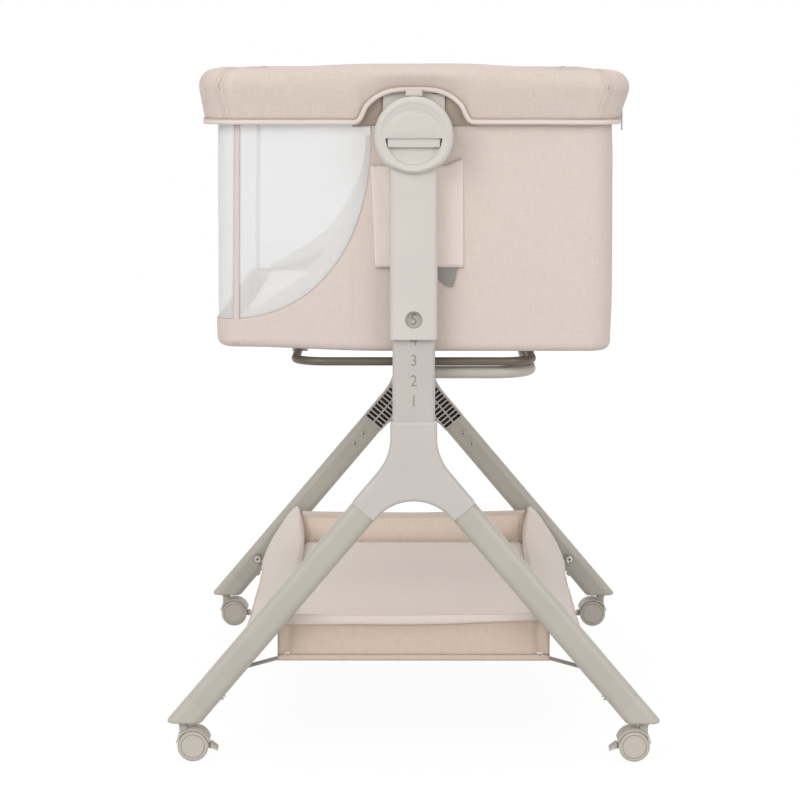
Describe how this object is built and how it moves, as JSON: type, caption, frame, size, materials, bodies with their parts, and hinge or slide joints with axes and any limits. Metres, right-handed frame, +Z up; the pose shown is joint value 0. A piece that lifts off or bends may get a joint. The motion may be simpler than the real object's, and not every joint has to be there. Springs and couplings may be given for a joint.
{
  "type": "bassinet on stand",
  "caption": "Height-adjustable bedside bassinet: a padded fabric basket with a mesh side hung between two telescopic columns on splayed legs with braked castors and a storage tray.",
  "frame": {"origin": "on the floor, at the middle of the four castors", "axes": "+X across the basket's width, +Y along its length to the far end, +Z up"},
  "size_m": [0.6346, 0.936, 0.892],
  "materials": {
    "leg_paint": "satin powder coat, warm grey",
    "stand_plastic": "fine matt moulded plastic, warm grey",
    "column_metal": "satin powder coat, warm grey",
    "screw_steel": "plated steel",
    "castor_plastic": "fine matt moulded plastic",
    "wheel_plastic": "smooth satin plastic tread",
    "brake_plastic": "fine matt moulded plastic",
    "rod_steel": "dark powder-coated wire",
    "tray_fabric": "woven polyester, beige",
    "board_plastic": "plain stiffening board",
    "sleeve_plastic": "fine matt moulded plastic",
    "hub_plastic": "fine matt moulded plastic",
    "frame_paint": "satin powder coat",
    "ring_paint": "dark satin powder coat",
    "lever_plastic": "grey moulded plastic",
    "flap_fabric": "woven polyester, beige",
    "basket_cloth": "woven polyester, beige",
    "mesh_cloth": "fine open knitted mesh, off-white",
    "rim_cloth": "padded woven polyester, beige",
    "mattress_cloth": "quilted cotton, off-white",
    "zip_tape": "zip tape and coil",
    "zip_metal": "coated zip slider"
  },
  "bodies": {
    "stand": {"leg_near_right": "leg_paint", "leg_near_left": "leg_paint", "leg_far_right": "leg_paint", "leg_far_left": "leg_paint", "foot_cap_near_right": "stand_plastic", "foot_cap_near_left": "stand_plastic", "foot_cap_far_right": "stand_plastic", "foot_cap_far_left": "stand_plastic", "yoke_near": "stand_plastic", "yoke_far": "stand_plastic", "column_near": "column_metal", "column_far": "column_metal", "yoke_screws": "screw_steel", "foot_screws": "screw_steel", "tray_fixings": "screw_steel", "tray_bar_near": "rod_steel", "tray_bar_far": "rod_steel", "tray_rails": "rod_steel", "storage_tray": "tray_fabric", "tray_board": "board_plastic"},
    "cradle": {"sleeve_near": "sleeve_plastic", "sleeve_far": "sleeve_plastic", "hub_cover_near": "hub_plastic", "hub_cover_far": "hub_plastic", "rim_bracket_near": "frame_paint", "rim_bracket_far": "frame_paint", "end_post_near": "frame_paint", "end_post_far": "frame_paint", "rim_tube": "frame_paint", "base_ring": "ring_paint", "side_bar": "frame_paint", "base_clips": "frame_paint", "base_board": "board_plastic", "mattress": "mattress_cloth", "basket_fabric": "basket_cloth", "basket_mesh": "mesh_cloth", "rim_cover": "rim_cloth", "end_flaps": "flap_fabric", "zip_chain": "zip_tape", "release_spring_near": "screw_steel", "release_spring_far": "screw_steel"},
    "castor_near_right": {"castor_fork_near_right": "castor_plastic"},
    "wheels_near_right": {"castor_wheels_near_right": "wheel_plastic"},
    "brake_near_right": {"brake_lever_near_right": "brake_plastic"},
    "castor_near_left": {"castor_fork_near_left": "castor_plastic"},
    "wheels_near_left": {"castor_wheels_near_left": "wheel_plastic"},
    "brake_near_left": {"brake_lever_near_left": "brake_plastic"},
    "castor_far_right": {"castor_fork_far_right": "castor_plastic"},
    "wheels_far_right": {"castor_wheels_far_right": "wheel_plastic"},
    "brake_far_right": {"brake_lever_far_right": "brake_plastic"},
    "castor_far_left": {"castor_fork_far_left": "castor_plastic"},
    "wheels_far_left": {"castor_wheels_far_left": "wheel_plastic"},
    "brake_far_left": {"brake_lever_far_left": "brake_plastic"},
    "release_near": {"release_lever_near": "hub_plastic"},
    "pin_near": {"lock_pin_near": "screw_steel"},
    "fold_near": {"fold_lever_near": "lever_plastic"},
    "release_far": {"release_lever_far": "hub_plastic"},
    "pin_far": {"lock_pin_far": "screw_steel"},
    "fold_far": {"fold_lever_far": "lever_plastic"},
    "zip": {"zip_slider": "zip_metal"}
  },
  "joints": [
    {"name": "cradle_height", "type": "slide", "parent": "stand", "child": "cradle", "axis": [0, 0, 1], "range_m": [-0.104, 0]},
    {"name": "swivel_near_right", "type": "hinge", "parent": "stand", "child": "castor_near_right", "pos_m": [0.297, -0.436, 0.048], "axis": [0, 0, 1], "continuous": true},
    {"name": "roll_near_right", "type": "hinge", "parent": "castor_near_right", "child": "wheels_near_right", "pos_m": [0.284, -0.436, 0.02], "axis": [0, 1, 0], "continuous": true},
    {"name": "brake_near_right", "type": "hinge", "parent": "castor_near_right", "child": "brake_near_right", "pos_m": [0.2687, -0.436, 0.02], "axis": [0, -1, 0], "range_deg": [0, 18]},
    {"name": "swivel_near_left", "type": "hinge", "parent": "stand", "child": "castor_near_left", "pos_m": [-0.297, -0.436, 0.048], "axis": [0, 0, 1], "continuous": true},
    {"name": "roll_near_left", "type": "hinge", "parent": "castor_near_left", "child": "wheels_near_left", "pos_m": [-0.284, -0.436, 0.02], "axis": [0, 1, 0], "continuous": true},
    {"name": "brake_near_left", "type": "hinge", "parent": "castor_near_left", "child": "brake_near_left", "pos_m": [-0.2687, -0.436, 0.02], "axis": [0, 1, 0], "range_deg": [0, 18]},
    {"name": "swivel_far_right", "type": "hinge", "parent": "stand", "child": "castor_far_right", "pos_m": [0.297, 0.436, 0.048], "axis": [0, 0, 1], "continuous": true},
    {"name": "roll_far_right", "type": "hinge", "parent": "castor_far_right", "child": "wheels_far_right", "pos_m": [0.284, 0.436, 0.02], "axis": [0, 1, 0], "continuous": true},
    {"name": "brake_far_right", "type": "hinge", "parent": "castor_far_right", "child": "brake_far_right", "pos_m": [0.2687, 0.436, 0.02], "axis": [0, -1, 0], "range_deg": [0, 18]},
    {"name": "swivel_far_left", "type": "hinge", "parent": "stand", "child": "castor_far_left", "pos_m": [-0.297, 0.436, 0.048], "axis": [0, 0, 1], "continuous": true},
    {"name": "roll_far_left", "type": "hinge", "parent": "castor_far_left", "child": "wheels_far_left", "pos_m": [-0.284, 0.436, 0.02], "axis": [0, 1, 0], "continuous": true},
    {"name": "brake_far_left", "type": "hinge", "parent": "castor_far_left", "child": "brake_far_left", "pos_m": [-0.2687, 0.436, 0.02], "axis": [0, 1, 0], "range_deg": [0, 18]},
    {"name": "release_near", "type": "slide", "parent": "cradle", "child": "release_near", "axis": [0, 0, 1], "range_m": [0, 0.007], "stiffness_N_per_m": 400, "springref_m": -0.005, "deforming": ["release_spring_near"]},
    {"name": "lock_near", "type": "slide", "parent": "cradle", "child": "pin_near", "axis": [0, -1, 0], "range_m": [0, 0.0024]},
    {"name": "fold_near", "type": "hinge", "parent": "cradle", "child": "fold_near", "pos_m": [0.008, -0.4193, 0.65], "axis": [0, 1, 0], "range_deg": [0, 22], "stiffness_Nm_per_rad": 0.08, "springref_deg": -28.65},
    {"name": "release_far", "type": "slide", "parent": "cradle", "child": "release_far", "axis": [0, 0, 1], "range_m": [0, 0.007], "stiffness_N_per_m": 400, "springref_m": -0.005, "deforming": ["release_spring_far"]},
    {"name": "lock_far", "type": "slide", "parent": "cradle", "child": "pin_far", "axis": [0, 1, 0], "range_m": [0, 0.0024]},
    {"name": "fold_far", "type": "hinge", "parent": "cradle", "child": "fold_far", "pos_m": [0.008, 0.4193, 0.65], "axis": [0, 1, 0], "range_deg": [0, 22], "stiffness_Nm_per_rad": 0.08, "springref_deg": -28.65},
    {"name": "zip_slide", "type": "slide", "parent": "cradle", "child": "zip", "axis": [0, 1, 0], "range_m": [0, 0.7]}
  ],
  "couplings": [
    {"joint": "lock_near", "follows": "release_near", "ratio": 0.3286},
    {"joint": "lock_far", "follows": "release_far", "ratio": 0.3286}
  ]
}
